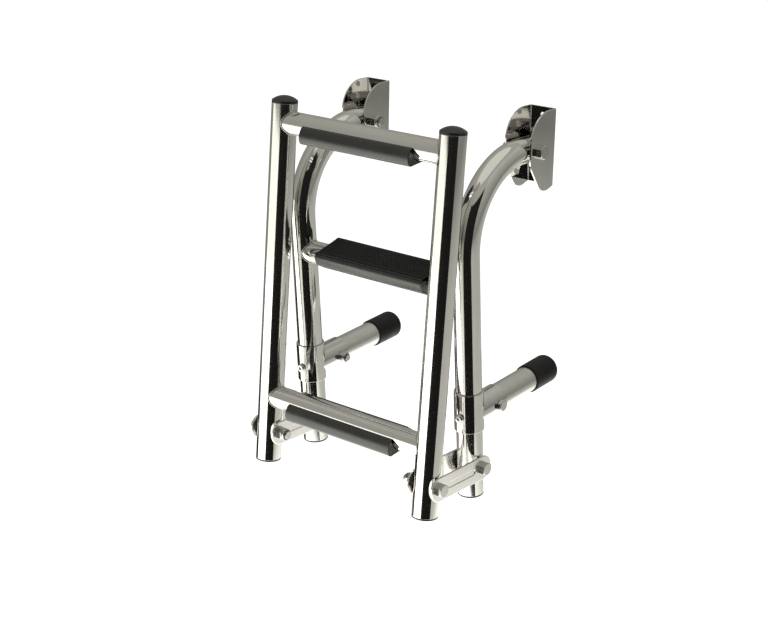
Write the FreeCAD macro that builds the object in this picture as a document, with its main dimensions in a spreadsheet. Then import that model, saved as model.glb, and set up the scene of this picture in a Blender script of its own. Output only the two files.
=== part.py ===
import FreeCAD, Part
import math
import os
import re

import Sketcher
from FreeCAD import Placement, Rotation, Vector

# Folding boat ladder, drawn folded up. Millimetres and degrees.
# +X runs along the rungs, +Y points at the hull and +Z points up.
# The origin lies on the hull face of the left bracket, level with its hinge bolt.

os.makedirs("parts", exist_ok=True)
doc = FreeCAD.newDocument("boat_ladder")
dims = doc.addObject("Spreadsheet::Sheet", "dims")

# Driving dimensions: name, size and what it is.
driving = [
    ("rail_spacing", 200, "left rail to right rail, centre to centre"),
    ("rail_diameter", 25, "outside of every side rail and stand-off tube"),
    ("tube_wall", 1.5, "wall of every tube"),
    ("rung_diameter", 22, "outside of the rungs"),
    ("sheet_metal", 1.5, "folded sheet of the hull brackets"),
    ("bracket_top", 37, "top of the bracket above its bolt"),
    ("bracket_bottom", 35, "bottom of the bracket plate below its bolt"),
    ("pivot_depth", 24.5, "hinge bolt in front of the hull face"),
    ("ear_reach", 39.5, "front of the bracket ears from the hull face"),
    ("ear_shoulder", 12, "straight front of the ear ends this far below the bolt"),
    ("ear_tip_depth", 19.5, "lower tip of the ear from the hull face"),
    ("ear_tip_drop", 41, "sharp lower tip of the ear below the bolt"),
    ("ear_curve", 28, "large round at the top front of the ear"),
    ("ear_shoulder_round", 18, "round where the ear turns back"),
    ("ear_tip_round", 15, "round at the lower tip of the ear"),
    ("sheet_bend", 1, "inside radius of a folded corner"),
    ("screw_hole", 5.5, "hull screw holes"),
    ("screw_outer", 29, "outer hull screws above and below the bolt"),
    ("screw_inner", 17, "inner hull screws above and below the bolt"),
    ("bolt_diameter", 8, "hinge and link bolts"),
    ("pin_play", 0.1, "radial play of a bolt in its hole"),
    ("bolt_flats", 12, "across the flats of heads and nuts"),
    ("head_height", 5.3, "bolt head"),
    ("nut_height", 6, "hexagon of a lock nut"),
    ("collar_height", 2, "round collar that holds the nut's insert"),
    ("thread_end", 2, "bolt end beyond its nut"),
    ("crown_inset", 0.3, "flat top of a head or nut inside its flats"),
    ("crown_angle", 30, "chamfer of heads and nuts, from the flat top"),
    ("washer_diameter", 16, "spacer washers"),
    ("washer_thickness", 0.6, "spacer washers"),
    ("side_play", 0.3, "each side of a tube between its washers"),
    ("rail_tail", 12, "upper rail behind its hinge bolt"),
    ("level_run", 11, "level stretch of the upper rail before its bend"),
    ("bend_radius", 78, "centreline of the upper rail's bend"),
    ("rail_lean", 4.8, "upper rails lean, bottom towards the hull"),
    ("first_rung_drop", 33, "upper rung below the end of the bend"),
    ("open_step", 278.5, "upper rung to the next one when the ladder hangs open"),
    ("rung_pitch", 271.6, "rung to rung on the lower frame"),
    ("link_length", 66, "link bolt to link bolt"),
    ("link_tilt", 0, "front of the links above level when folded"),
    ("rail_end", 29, "rail beyond its link bolt"),
    ("lower_rung_offset", 36.5, "link bolt to the nearest lower rung"),
    ("top_overhang", 17.9, "lower rail beyond its last rung"),
    ("folded_lean", 4.2, "lower frame leans back when folded"),
    ("link_width", 24, "link plates"),
    ("link_thickness", 2, "link plates"),
    ("link_edge_round", 0.6, "rolled edge of a link plate"),
    ("groove_width", 6, "pressed groove in a link plate"),
    ("groove_depth", 0.7, "pressed groove in a link plate"),
    ("groove_margin", 15, "groove end from the bolt centre"),
    ("tread_nose", 23, "nose of a tread in front of the rung centre"),
    ("tread_heel", 18, "heel of a tread behind the rung centre"),
    ("tread_inset", 35, "tread end from the rail centre"),
    ("tread_cover", 2.3, "plastic above the rung"),
    ("nose_low", 1.5, "lower edge of the nose above the rung centre"),
    ("nose_rake", 2, "the nose overhangs its lower edge by this"),
    ("nose_round", 5, "top of the nose"),
    ("heel_low", 1, "lower edge of the heel below the rung centre"),
    ("heel_round", 5, "top of the heel"),
    ("tread_edge_round", 0.8, "lower edges of nose and heel"),
    ("nose_grip", 4, "clip in front of the rung reaches below its centre"),
    ("heel_grip", 2, "heel behind the rung reaches below its centre"),
    ("ridge_pitch", 2.2, "ridge to ridge on the nose"),
    ("ridge_back", 4.4, "first ridge groove behind the nose"),
    ("rib_pitch", 3, "rib to rib on the walking side"),
    ("rib_groove", 1.2, "groove between two ribs"),
    ("rib_depth", 0.5, "grooves of ribs and ridges"),
    ("tread_fit", 0.1, "tread bore round the rung"),
    ("tread_tilt", 11, "tread from square to the rails"),
    ("plug_flange", 1.5, "flange of an end plug"),
    ("plug_stub", 16, "plug inside the tube"),
    ("plug_fit", 0.1, "plug stub inside the tube"),
    ("cap_edge", 2.5, "straight edge of a domed cap"),
    ("cap_dome", 4.5, "dome above that edge"),
    ("clamp_drop", 151.7, "clamp centre below the end of the bend"),
    ("clamp_height", 38.5, "sleeve along the rail"),
    ("clamp_wall", 1.5, "sleeve round the rail"),
    ("clamp_play", 0.15, "sleeve round the rail"),
    ("socket_wall", 1.3, "socket round the stand-off"),
    ("socket_play", 0.1, "socket round the stand-off"),
    ("socket_reach", 42, "socket for the stand-off, from the rail centre"),
    ("slot_start", 15.5, "slot along the top of the socket, from the rail centre"),
    ("socket_slot", 5, "its width at the rail"),
    ("socket_slot_end", 1.5, "its width at the rim"),
    ("arm_drop", 4, "stand-off below the middle of the sleeve"),
    ("arm_offset", 31, "stand-off bolt behind the rail centre"),
    ("arm_tail", 9, "stand-off tube in front of its bolt"),
    ("arm_length", 94, "stand-off tube behind its bolt"),
    ("arm_bolt", 6, "stand-off bolts"),
    ("arm_bolt_flats", 10, "across the flats of their heads and nuts"),
    ("arm_head_height", 4, "their heads"),
    ("arm_nut_height", 5, "hexagons of their lock nuts"),
    ("arm_collar_height", 1.5, "round collars of those nuts"),
    ("set_screw", 5, "clamp screw"),
    ("set_head", 9, "head of the clamp screw"),
    ("set_head_height", 3, "head of the clamp screw"),
    ("set_head_round", 1.8, "edge of that head"),
    ("foot_diameter", 28, "rubber foot"),
    ("foot_length", 37, "rubber foot"),
    ("foot_end", 5, "rubber behind the end of the tube"),
    ("foot_round", 6, "edge of the foot that meets the hull"),
    ("foot_rim_round", 1, "rim of the foot round the tube"),
]

# Sizes and places worked out from the driving dimensions.
derived = [
    ("rail_radius", "rail_diameter / 2"),
    ("tube_bore", "rail_radius - tube_wall"),
    ("rung_radius", "rung_diameter / 2"),
    ("bolt_radius", "bolt_diameter / 2"),
    ("pin_hole", "bolt_radius + pin_play"),
    ("washer_inner", "rail_radius + side_play"),
    ("plate_inner", "washer_inner + washer_thickness"),
    ("ear_outer", "plate_inner + sheet_metal"),
    ("link_outer", "plate_inner + link_thickness"),
    ("pivot_y", "-pivot_depth"),
    ("tail_y", "pivot_y + rail_tail"),
    ("bend_y", "pivot_y - level_run"),
    ("bend_end_y", "bend_y - bend_radius * cos(rail_lean)"),
    ("bend_end_z", "-bend_radius - bend_radius * sin(rail_lean)"),
    ("upper_rung_y", "bend_end_y + first_rung_drop * sin(rail_lean)"),
    ("upper_rung_z", "bend_end_z - first_rung_drop * cos(rail_lean)"),
    ("pivot_drop", "first_rung_drop + open_step - link_length - lower_rung_offset"),
    ("rear_pivot_y", "bend_end_y + pivot_drop * sin(rail_lean)"),
    ("rear_pivot_z", "bend_end_z - pivot_drop * cos(rail_lean)"),
    ("rail_foot_y", "rear_pivot_y + rail_end * sin(rail_lean)"),
    ("rail_foot_z", "rear_pivot_z - rail_end * cos(rail_lean)"),
    ("front_pivot_y", "rear_pivot_y - link_length * cos(link_tilt)"),
    ("front_pivot_z", "rear_pivot_z + link_length * sin(link_tilt)"),
    ("lower_foot_y", "front_pivot_y - rail_end * sin(folded_lean)"),
    ("lower_foot_z", "front_pivot_z - rail_end * cos(folded_lean)"),
    ("near_rung_y", "front_pivot_y + lower_rung_offset * sin(folded_lean)"),
    ("near_rung_z", "front_pivot_z + lower_rung_offset * cos(folded_lean)"),
    ("far_rung_y", "near_rung_y + rung_pitch * sin(folded_lean)"),
    ("far_rung_z", "near_rung_z + rung_pitch * cos(folded_lean)"),
    ("lower_rail_top", "lower_rung_offset + rung_pitch + top_overhang"),
    ("lower_top_y", "front_pivot_y + lower_rail_top * sin(folded_lean)"),
    ("lower_top_z", "front_pivot_z + lower_rail_top * cos(folded_lean)"),
    ("sleeve_inner", "rail_radius + clamp_play"),
    ("sleeve_outer", "sleeve_inner + clamp_wall"),
    ("socket_inner", "rail_radius + socket_play"),
    ("socket_outer", "socket_inner + socket_wall"),
    ("arm_rise", "-arm_drop"),
    ("arm_hole", "arm_bolt / 2 + pin_play"),
    ("clamp_y", "bend_end_y + clamp_drop * sin(rail_lean)"),
    ("clamp_z", "bend_end_z - clamp_drop * cos(rail_lean)"),
    ("screw_y", "clamp_y - arm_rise * sin(rail_lean)"),
    ("screw_z", "clamp_z + arm_rise * cos(rail_lean)"),
    ("arm_y", "clamp_y + arm_offset * cos(rail_lean) - arm_rise * sin(rail_lean)"),
    ("arm_z", "clamp_z + arm_offset * sin(rail_lean) + arm_rise * cos(rail_lean)"),
]

names = [row[0] for row in driving] + [row[0] for row in derived]
word = re.compile(r"[a-z_]+")


def bound(text):
    """An expression for an object outside the sheet."""
    return word.sub(lambda m: "dims." + m.group(0) if m.group(0) in names else m.group(0), text)


def size(text):
    """The present value of an expression."""
    return float(dims.evalExpression(bound(text)))


row = 1
for name, value, note in driving:
    dims.set(f"A{row}", note)
    dims.set(f"B{row}", str(value))
    dims.setAlias(f"B{row}", name)
    row += 1
for name, formula in derived:
    dims.set(f"B{row}", "=" + formula)
    dims.setAlias(f"B{row}", name)
    row += 1
doc.recompute()

pieces = []
same_spot = 0.001
turn_to_x = Rotation(Vector(0, 1, 0), 90)
across = Vector(1, 0, 0)


def keep(piece, label):
    """Names a finished sub-part and lists it for export."""
    piece.Label = label
    pieces.append(piece)
    return piece


def place(piece, x="0", y="0", z="0", tilt="0"):
    """Stands a piece at its place, turned about X by its tilt."""
    piece.Placement = Placement(Vector(0, 0, 0), Rotation(across, 1))
    for axis, text in (("x", x), ("y", y), ("z", z)):
        piece.setExpression("Placement.Base." + axis, bound(text))
    piece.setExpression("Placement.Rotation.Angle", "(" + bound(tilt) + ") * 1 deg")


# Sketches. A point is a pair of expressions, and its place is bound to the sheet.

def new_sketch(body, plane, name, lift="0"):
    sketch = body.newObject("Sketcher::SketchObject", name)
    support = [f for f in body.Origin.OriginFeatures if f.Role == plane][0]
    sketch.AttachmentSupport = [(support, "")]
    sketch.MapMode = "FlatFace"
    if lift != "0":
        sketch.setExpression("AttachmentOffset.Base.z", bound(lift))
    return sketch


def pin_point(sketch, curve, end, point):
    """Holds one point of a sketch at its two coordinates."""
    for kind, text, axis in (("DistanceX", point[0], -2), ("DistanceY", point[1], -1)):
        if text == "0":
            sketch.addConstraint(Sketcher.Constraint("PointOnObject", curve, end, axis))
        else:
            number = sketch.addConstraint(Sketcher.Constraint(kind, -1, 1, curve, end, size(text)))
            sketch.setExpression(f"Constraints[{number}]", bound(text))


def spot(point):
    return Vector(size(point[0]), size(point[1]), 0)


def outline(body, plane, name, points, lift="0"):
    """A closed outline of straight lines."""
    sketch = new_sketch(body, plane, name, lift)
    count = len(points)
    for i in range(count):
        sketch.addGeometry(Part.LineSegment(spot(points[i]), spot(points[(i + 1) % count])), False)
    for i in range(count):
        sketch.addConstraint(Sketcher.Constraint("Coincident", i, 2, (i + 1) % count, 1))
    for i in range(count):
        pin_point(sketch, i, 1, points[i])
    return sketch


def circles(body, plane, name, discs, lift="0"):
    """Circles, each a centre and a radius."""
    sketch = new_sketch(body, plane, name, lift)
    for centre, radius in discs:
        curve = sketch.addGeometry(Part.Circle(spot(centre), Vector(0, 0, 1), size(radius)), False)
        if centre == ("0", "0"):
            sketch.addConstraint(Sketcher.Constraint("Coincident", curve, 3, -1, 1))
        else:
            pin_point(sketch, curve, 3, centre)
        number = sketch.addConstraint(Sketcher.Constraint("Radius", curve, size(radius)))
        sketch.setExpression(f"Constraints[{number}]", bound(radius))
    return sketch


def stadium(body, plane, name, start, end, radius, lift="0"):
    """A slot outline along the sketch's X from start, on the left, to end."""
    sketch = new_sketch(body, plane, name, lift)
    low, high, reach = size(start), size(end), size(radius)
    normal = Vector(0, 0, 1)
    quarter = math.pi / 2
    left = Part.ArcOfCircle(Part.Circle(Vector(low, 0, 0), normal, reach), quarter, 3 * quarter)
    right = Part.ArcOfCircle(Part.Circle(Vector(high, 0, 0), normal, reach), -quarter, quarter)
    sketch.addGeometry(left, False)
    sketch.addGeometry(Part.LineSegment(Vector(low, -reach, 0), Vector(high, -reach, 0)), False)
    sketch.addGeometry(right, False)
    sketch.addGeometry(Part.LineSegment(Vector(high, reach, 0), Vector(low, reach, 0)), False)
    for first, second in ((0, 1), (1, 2), (2, 3), (3, 0)):
        sketch.addConstraint(Sketcher.Constraint("Tangent", first, 2, second, 1))
    sketch.addConstraint(Sketcher.Constraint("Equal", 0, 2))
    for curve, text in ((0, start), (2, end)):
        if text == "0":
            sketch.addConstraint(Sketcher.Constraint("Coincident", curve, 3, -1, 1))
        else:
            pin_point(sketch, curve, 3, (text, "0"))
    number = sketch.addConstraint(Sketcher.Constraint("Radius", 0, reach))
    sketch.setExpression(f"Constraints[{number}]", bound(radius))
    return sketch


# Features.

def pad(body, sketch, length, side="Symmetric", length_back=None):
    feature = body.newObject("PartDesign::Pad", sketch.Name + "_pad")
    feature.Profile = sketch
    feature.SideType = side
    feature.setExpression("Length", bound(length))
    if length_back is not None:
        feature.setExpression("Length2", bound(length_back))
    doc.recompute()
    return feature


def pocket(body, sketch, length, side="Symmetric", flip=False):
    feature = body.newObject("PartDesign::Pocket", sketch.Name + "_cut")
    feature.Profile = sketch
    feature.SideType = side
    feature.Reversed = flip
    feature.setExpression("Length", bound(length))
    doc.recompute()
    return feature


def revolve(body, sketch, axis):
    feature = body.newObject("PartDesign::Revolution", sketch.Name + "_turned")
    feature.Profile = sketch
    feature.ReferenceAxis = (sketch, [axis])
    feature.Angle = 360
    doc.recompute()
    return feature


def round_edges(body, base, chosen, radius):
    """Rounds the edges of a feature for which chosen(edge) is true."""
    edges = [f"Edge{i + 1}" for i, edge in enumerate(base.Shape.Edges) if chosen(edge)]
    if not edges:
        raise ValueError("no edge to round on " + body.Name)
    feature = body.newObject("PartDesign::Fillet", base.Name + "_round")
    feature.Base = (base, edges)
    feature.setExpression("Radius", bound(radius))
    doc.recompute()
    return feature


def near(value, text):
    return abs(value - size(text)) < same_spot


def crosswise_at(point):
    """Edges along X through one point of the YZ plane."""
    def chosen(edge):
        return all(near(v.Point.y, point[0]) and near(v.Point.z, point[1]) for v in edge.Vertexes)
    return chosen


def new_body(name):
    return doc.addObject("PartDesign::Body", name)


sides = (("left", "0", -1), ("right", "rail_spacing", 1))


# Hull brackets: a folded channel with two ears, holes for the hinge bolt and four hull screws.

def make_bracket(side, x):
    body = new_body("bracket_" + side)
    top_front = ("-ear_reach", "bracket_top")
    shoulder = ("-ear_reach", "-ear_shoulder")
    tip = ("-ear_tip_depth", "-ear_tip_drop")
    corners = [("0", "bracket_top"), top_front, shoulder, tip, ("0", "-bracket_bottom")]
    profile = outline(body, "YZ_Plane", "ear_" + side, corners)
    solid = pad(body, profile, "2 * ear_outer")
    rounds = ((top_front, "ear_curve"), (shoulder, "ear_shoulder_round"), (tip, "ear_tip_round"))
    for corner, radius in rounds:
        solid = round_edges(body, solid, crosswise_at(corner), radius)
    beyond = "(ear_reach + ear_tip_drop)"
    hollow = [("-sheet_metal", beyond), ("-" + beyond, beyond), ("-" + beyond, "-" + beyond),
              ("-sheet_metal", "-" + beyond)]
    solid = pocket(body, outline(body, "YZ_Plane", "channel_" + side, hollow), "2 * plate_inner")

    def fold(edge, across_by, forward_by):
        ends = [v.Point for v in edge.Vertexes]
        seated = all(near(abs(p.x), across_by) and near(p.y, forward_by) for p in ends)
        return seated and abs(ends[0].x - ends[-1].x) < same_spot

    def inner_fold(edge):
        return fold(edge, "plate_inner", "-sheet_metal")

    def outer_fold(edge):
        return fold(edge, "ear_outer", "0")

    solid = round_edges(body, solid, inner_fold, "sheet_bend")
    round_edges(body, solid, outer_fold, "sheet_bend + sheet_metal")
    bolt_hole = circles(body, "YZ_Plane", "bolt_hole_" + side, [(("pivot_y", "0"), "pin_hole")])
    pocket(body, bolt_hole, "3 * ear_outer")
    heights = ("screw_outer", "screw_inner", "-screw_inner", "-screw_outer")
    screws = [(("0", height), "screw_hole / 2") for height in heights]
    pocket(body, circles(body, "XZ_Plane", "screw_holes_" + side, screws), "4 * sheet_metal")
    place(body, x=x)
    keep(body, "bracket_" + side)


# Side rails of the upper frame: level at the bracket, then bent down in one curve.

def make_upper_rail(side, x):
    body = new_body("upper_rail_" + side)
    path = new_sketch(body, "YZ_Plane", "rail_path_" + side)
    start, bend = ("tail_y", "0"), ("bend_y", "0")
    centre, foot = ("bend_y", "-bend_radius"), ("rail_foot_y", "rail_foot_z")
    half_turn = "((90 + rail_lean) / 2)"
    middle = ("bend_y - bend_radius * sin" + half_turn, "bend_radius * cos" + half_turn + " - bend_radius")
    bend_end = ("bend_end_y", "bend_end_z")
    path.addGeometry(Part.LineSegment(spot(start), spot(bend)), False)
    path.addGeometry(Part.Arc(spot(bend), spot(middle), spot(bend_end)), False)
    path.addGeometry(Part.LineSegment(spot(bend_end), spot(foot)), False)
    pin_point(path, 0, 1, start)
    pin_point(path, 0, 2, bend)
    pin_point(path, 1, 3, centre)
    path.addConstraint(Sketcher.Constraint("Coincident", 0, 2, 1, 1))
    path.addConstraint(Sketcher.Constraint("Tangent", 1, 2, 2, 1))
    pin_point(path, 2, 2, foot)
    rings = [(("0", "0"), "rail_radius"), (("0", "0"), "tube_bore")]
    profile = circles(body, "XZ_Plane", "rail_section_" + side, rings, "-tail_y")
    pipe = body.newObject("PartDesign::AdditivePipe", "rail_tube_" + side)
    pipe.Profile = profile
    pipe.Spine = (path, ["Edge1", "Edge2", "Edge3"])
    doc.recompute()
    holes = [(("pivot_y", "0"), "pin_hole"), (("rear_pivot_y", "rear_pivot_z"), "pin_hole")]
    pocket(body, circles(body, "YZ_Plane", "rail_holes_" + side, holes), "2 * rail_diameter")
    place(body, x=x)
    keep(body, "upper_rail_" + side)


# Side rails of the lower frame, straight. Local Z runs up the folded rail from the link bolt.

def make_lower_rail(side, x):
    body = new_body("lower_rail_" + side)
    rings = [(("0", "0"), "rail_radius"), (("0", "0"), "tube_bore")]
    section = circles(body, "XY_Plane", "lower_section_" + side, rings)
    pad(body, section, "lower_rail_top", "Two sides", "rail_end")
    hole = circles(body, "YZ_Plane", "lower_hole_" + side, [(("0", "0"), "pin_hole")])
    pocket(body, hole, "2 * rail_diameter")
    place(body, x, "front_pivot_y", "front_pivot_z", "-folded_lean")
    keep(body, "lower_rail_" + side)


# Rungs: a tube coped to the rails at both ends.

def make_rung(name, y, z, tilt):
    body = new_body(name)
    rings = [(("0", "0"), "rung_radius"), (("0", "0"), "rung_radius - tube_wall")]
    pad(body, circles(body, "YZ_Plane", name + "_section", rings), "rail_spacing", "One side")
    copes = [(("0", "0"), "rail_radius"), (("rail_spacing", "0"), "rail_radius")]
    pocket(body, circles(body, "XY_Plane", name + "_copes", copes), "2 * rung_diameter")
    place(body, "0", y, z, tilt)
    keep(body, name)


# Treads: a plastic moulding clipped over the rung. Local Z is the walking side and -Y the nose.
# Two grooves ridge the nose, and the ribs behind them end where the heel begins to round.

first_rib = "(ridge_back + 3 * ridge_pitch - tread_nose)"
rib_count = int(size("(tread_heel - heel_round - " + first_rib + ") / rib_pitch"))


def make_tread(name, y, z, tilt):
    body = new_body(name)
    top = "rung_radius + tread_cover"
    nose_top, heel_top = ("-tread_nose", top), ("tread_heel", top)
    nose_edge, heel_edge = ("nose_rake - tread_nose", "nose_low"), ("tread_heel", "-heel_low")
    clip, heel_foot = ("-rung_radius", "-nose_grip"), ("rung_radius", "-heel_grip")
    block = [clip, nose_edge, nose_top, heel_top, heel_edge, heel_foot]
    section = outline(body, "YZ_Plane", name + "_section", block, "tread_inset")
    solid = pad(body, section, "rail_spacing - 2 * tread_inset", "One side")
    rounds = ((nose_top, "nose_round"), (heel_top, "heel_round"))
    for corner, radius in rounds + ((nose_edge, "tread_edge_round"), (heel_edge, "tread_edge_round")):
        solid = round_edges(body, solid, crosswise_at(corner), radius)
    bore = circles(body, "YZ_Plane", name + "_bore", [(("0", "0"), "rung_radius + tread_fit")])
    pocket(body, bore, "4 * rail_spacing")
    groove_row(body, name + "_ridges", "ridge_back - tread_nose", top, "ridge_pitch", 2)
    groove_row(body, name + "_ribs", first_rib, top, "rib_pitch", rib_count)
    place(body, "0", y, z, tilt)
    keep(body, name)


def groove_row(body, name, first, top, pitch, count):
    """Grooves along X in the walking side, each one pitch further back."""
    low, back = top + " - rib_depth", "(" + first + ") + rib_groove"
    notch = [(first, low), (back, low), (back, top + " + rib_depth"), (first, top + " + rib_depth")]
    cutter = pocket(body, outline(body, "YZ_Plane", name, notch), "4 * rail_spacing")
    row_of = body.newObject("PartDesign::LinearPattern", name + "_row")
    row_of.Originals = [cutter]
    row_of.Direction = (cutter.Profile[0], ["H_Axis"])
    row_of.setExpression("Length", bound("(" + pitch + ") * " + str(count - 1)))
    row_of.Occurrences = count
    body.Tip = row_of
    doc.recompute()


# Plugs and caps that close the rails. Local Z points out of the tube.

def make_plug(name, x, y, z, tilt):
    body = new_body(name)
    stub = "tube_bore - plug_fit"
    points = [("0", "-plug_stub"), (stub, "-plug_stub"), (stub, "0"), ("rail_radius", "0"),
              ("rail_radius", "plug_flange"), ("0", "plug_flange")]
    revolve(body, outline(body, "XZ_Plane", name + "_profile", points), "V_Axis")
    place(body, x, y, z, tilt)
    keep(body, name)


def make_cap(name, x, y, z, tilt):
    body = new_body(name)
    stub = "tube_bore - plug_fit"
    points = [("0", "-plug_stub"), (stub, "-plug_stub"), (stub, "0"), ("rail_radius", "0"),
              ("rail_radius", "cap_edge")]
    crown = ("0", "cap_edge + cap_dome")
    dome = size("(rail_radius * rail_radius + cap_dome * cap_dome) / (2 * cap_dome)")
    half_way = math.asin(size("rail_radius") / dome) / 2
    middle = spot(crown) + Vector(dome * math.sin(half_way), dome * math.cos(half_way) - dome, 0)
    sketch = new_sketch(body, "XZ_Plane", name + "_profile")
    for first, second in zip(points, points[1:]):
        sketch.addGeometry(Part.LineSegment(spot(first), spot(second)), False)
    arc = sketch.addGeometry(Part.Arc(spot(points[-1]), middle, spot(crown)), False)
    axis = sketch.addGeometry(Part.LineSegment(spot(crown), spot(points[0])), False)
    for i in range(axis + 1):
        sketch.addConstraint(Sketcher.Constraint("Coincident", i, 2, (i + 1) % (axis + 1), 1))
    for i in range(arc):
        pin_point(sketch, i, 1, points[i])
    pin_point(sketch, arc - 1, 2, points[-1])
    pin_point(sketch, axis, 1, crown)
    sketch.addConstraint(Sketcher.Constraint("PointOnObject", arc, 3, -2))
    revolve(body, sketch, "V_Axis")
    place(body, x, y, z, tilt)
    keep(body, name)


# Link plates. Local Y runs along the link, and the groove is pressed into the outward face.

def make_link(name, x, outward):
    body = new_body(name)
    shape = stadium(body, "YZ_Plane", name + "_outline", "-link_length", "0", "link_width / 2")
    solid = pad(body, shape, "link_thickness")

    def rim(edge):
        return all(near(abs(v.Point.x), "link_thickness / 2") for v in edge.Vertexes)

    round_edges(body, solid, rim, "link_edge_round")
    face = "link_thickness / 2" if outward > 0 else "-link_thickness / 2"
    groove = stadium(body, "YZ_Plane", name + "_groove", "-link_length + groove_margin", "-groove_margin",
                     "groove_width / 2", face)
    pocket(body, groove, "groove_depth", "One side", outward < 0)
    holes = [(("0", "0"), "pin_hole"), (("-link_length", "0"), "pin_hole")]
    pocket(body, circles(body, "YZ_Plane", name + "_holes", holes), "2 * link_thickness")
    place(body, x, "rear_pivot_y", "rear_pivot_z", "-link_tilt")
    keep(body, name)


# Turned and hexagon parts, drawn along X.

def rod(name, radius, start, length, y="0", z="0"):
    """A round bar along X that begins at start."""
    bar = doc.addObject("Part::Cylinder", name)
    bar.setExpression("Radius", bound(radius))
    bar.setExpression("Height", bound(length))
    bar.Placement = Placement(Vector(0, 0, 0), turn_to_x)
    for axis, text in (("x", start), ("y", y), ("z", z)):
        bar.setExpression("Placement.Base." + axis, bound(text))
    return bar


def crown_of(flats):
    """Radius of the flat top of a head or nut."""
    return "(" + flats + " / 2 - crown_inset)"


def hexagon(name, start, height, outward, y, z, flats):
    """A hexagon along X with its outward corners turned off."""
    prism = doc.addObject("Part::Prism", name + "_hex")
    prism.Polygon = 6
    prism.setExpression("Circumradius", bound(flats + " / sqrt(3)"))
    prism.setExpression("Height", bound(height))
    crown = doc.addObject("Part::Cone", name + "_crown")
    crown.setExpression("Radius1", bound(crown_of(flats) + " + " + height + " / tan(crown_angle)"))
    crown.setExpression("Radius2", bound(crown_of(flats)))
    crown.setExpression("Height", bound(height))
    turn = turn_to_x if outward > 0 else Rotation(Vector(0, 1, 0), -90)
    for part in (prism, crown):
        part.Placement = Placement(Vector(0, 0, 0), turn)
        for axis, text in (("x", start), ("y", y), ("z", z)):
            part.setExpression("Placement.Base." + axis, bound(text))
    shaped = doc.addObject("Part::Common", name)
    shaped.Base = prism
    shaped.Tool = crown
    return shaped


def joined(name, parts):
    whole = doc.addObject("Part::MultiFuse", name)
    whole.Shapes = parts
    return whole


def cut(name, base, tool):
    left_over = doc.addObject("Part::Cut", name)
    left_over.Base = base
    left_over.Tool = tool
    return left_over


def signed(sign, text):
    return "(" + text + ")" if sign > 0 else "-(" + text + ")"


hinge_set = {"radius": "bolt_radius", "flats": "bolt_flats", "head": "head_height", "nut": "nut_height",
             "collar": "collar_height"}
arm_set = {"radius": "arm_bolt / 2", "flats": "arm_bolt_flats", "head": "arm_head_height",
           "nut": "arm_nut_height", "collar": "arm_collar_height"}


def bolt(name, x, outward, grip, y, z, made=hinge_set):
    """Head outside the outward plate, thread through the inward one."""
    beyond = grip + " + " + made["nut"] + " + " + made["collar"] + " + thread_end"
    face = x + " + " + signed(outward, grip)
    end = x + " - " + signed(outward, beyond)
    low = end if outward > 0 else face
    shank = rod(name + "_shank", made["radius"], low, grip + " + " + beyond, y, z)
    head = hexagon(name + "_head", face, made["head"], outward, y, z, made["flats"])
    return joined(name, [shank, head])


def lock_nut(name, x, outward, grip, y, z, made=hinge_set):
    face = x + " - " + signed(outward, grip)
    height = made["nut"] + " + " + made["collar"]
    hexagon_part = hexagon(name + "_body", face, made["nut"], -outward, y, z, made["flats"])
    back = face if outward < 0 else face + " - (" + height + ")"
    collar = rod(name + "_collar", crown_of(made["flats"]), back, height, y, z)
    whole = joined(name + "_solid", [hexagon_part, collar])
    bore = rod(name + "_bore", made["radius"], back, height, y, z)
    return cut(name, whole, bore)


def washer(name, start, y, z):
    disc = rod(name + "_disc", "washer_diameter / 2", start, "washer_thickness", y, z)
    bore = rod(name + "_bore", "pin_hole", start, "washer_thickness", y, z)
    return cut(name, disc, bore)


def washer_pair(name, x, y, z):
    low = washer(name + "_low", x + " - plate_inner", y, z)
    high = washer(name + "_high", x + " + washer_inner", y, z)
    return [low, high]


def grouped(label, parts):
    """Loose like parts that share a node."""
    group = doc.addObject("Part::Compound", label)
    group.Links = parts
    return keep(group, label)


# Clamps on the upper rails: a sleeve round the rail and a slotted socket round the stand-off.
# Local Z runs up the rail and local Y points at the hull.

def make_clamp(side, x):
    name = "standoff_clamp_" + side
    body = new_body(name)
    axis_point = ("0", "arm_rise")
    socket = circles(body, "XZ_Plane", name + "_socket", [(axis_point, "socket_outer")])
    pad(body, socket, "clamp_wall", "Two sides", "socket_reach")
    sleeve = circles(body, "XY_Plane", name + "_sleeve", [(("0", "0"), "sleeve_outer")])
    pad(body, sleeve, "clamp_height")
    rail_bore = circles(body, "XY_Plane", name + "_rail_bore", [(("0", "0"), "sleeve_inner")])
    pocket(body, rail_bore, "2 * clamp_height")
    arm_bore = circles(body, "XZ_Plane", name + "_arm_bore", [(axis_point, "socket_inner")])
    pocket(body, arm_bore, "2 * socket_reach", "One side")
    half, half_end = "socket_slot / 2", "socket_slot_end / 2"
    rim = "socket_reach + clamp_wall"
    slot = [(half, "slot_start"), (half_end, rim), ("-" + half_end, rim), ("-" + half, "slot_start")]
    between = outline(body, "XY_Plane", name + "_slot", slot, "arm_rise")
    pocket(body, between, "2 * sleeve_outer", "One side", True)
    bolt_hole = circles(body, "YZ_Plane", name + "_bolt_hole", [(("arm_offset", "arm_rise"), "arm_hole")])
    pocket(body, bolt_hole, "3 * sleeve_outer")
    screw_hole = circles(body, "XZ_Plane", name + "_screw_hole", [(axis_point, "set_screw / 2 + pin_play")])
    pocket(body, screw_hole, "2 * sleeve_outer", "One side", True)
    place(body, x, "clamp_y", "clamp_z", "rail_lean")
    keep(body, name)


# The screw that holds a clamp on its rail, in the front of the sleeve.

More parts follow.
